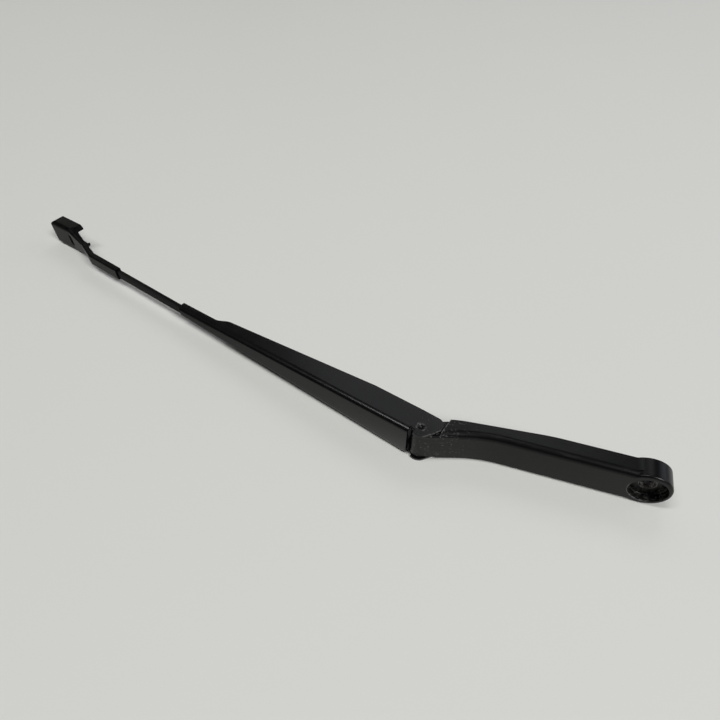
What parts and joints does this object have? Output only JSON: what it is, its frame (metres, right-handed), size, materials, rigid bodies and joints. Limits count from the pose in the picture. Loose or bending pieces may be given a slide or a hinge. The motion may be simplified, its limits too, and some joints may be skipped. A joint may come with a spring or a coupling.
{
  "type": "wiper arm",
  "caption": "Black windscreen wiper arm: cast spindle head, hinged folded-steel channel with an over-centre tension spring, flat bar and a U-shaped blade bracket.",
  "frame": {"origin": "on the spindle axis, on the face where the spindle nut seats", "axes": "+Y along the spindle towards the glass, -X along the arm towards the blade, +Z along the hinge axis, up as the arm lies on its side"},
  "size_m": [0.5627, 0.1479, 0.0308],
  "materials": {
    "cast_paint": "worn satin black paint on a die casting",
    "sheet_paint": "satin black paint on folded steel sheet",
    "bar_paint": "satin black paint on steel",
    "pin_steel": "steel, painted over with the arm and scratched at its ends",
    "spring_steel": "dull spring steel",
    "bush_plastic": "dark moulded plastic"
  },
  "bodies": {
    "head": {"mounting_head": "cast_paint", "hinge_bush_upper": "bush_plastic", "hinge_bush_lower": "bush_plastic", "spring_anchor_pin": "pin_steel"},
    "arm": {"arm_channel": "sheet_paint", "hinge_pin": "pin_steel", "arm_rod": "bar_paint", "end_bracket": "bar_paint"},
    "spring_link": {"spring_hook": "spring_steel", "tension_spring": "spring_steel"}
  },
  "joints": [
    {"name": "arm_lift", "type": "hinge", "parent": "head", "child": "arm", "pos_m": [-0.1454, -0.0113, 0], "axis": [0, 0, 1], "range_deg": [0, 75], "deforming": ["tension_spring"]},
    {"name": "spring_swing", "type": "hinge", "parent": "head", "child": "spring_link", "pos_m": [-0.13934, -0.00534, 0], "axis": [0, 0, 1], "range_deg": [0, 72]}
  ],
  "couplings": [
    {"joint": "spring_swing", "follows": "arm_lift", "ratio": 0.9362}
  ]
}
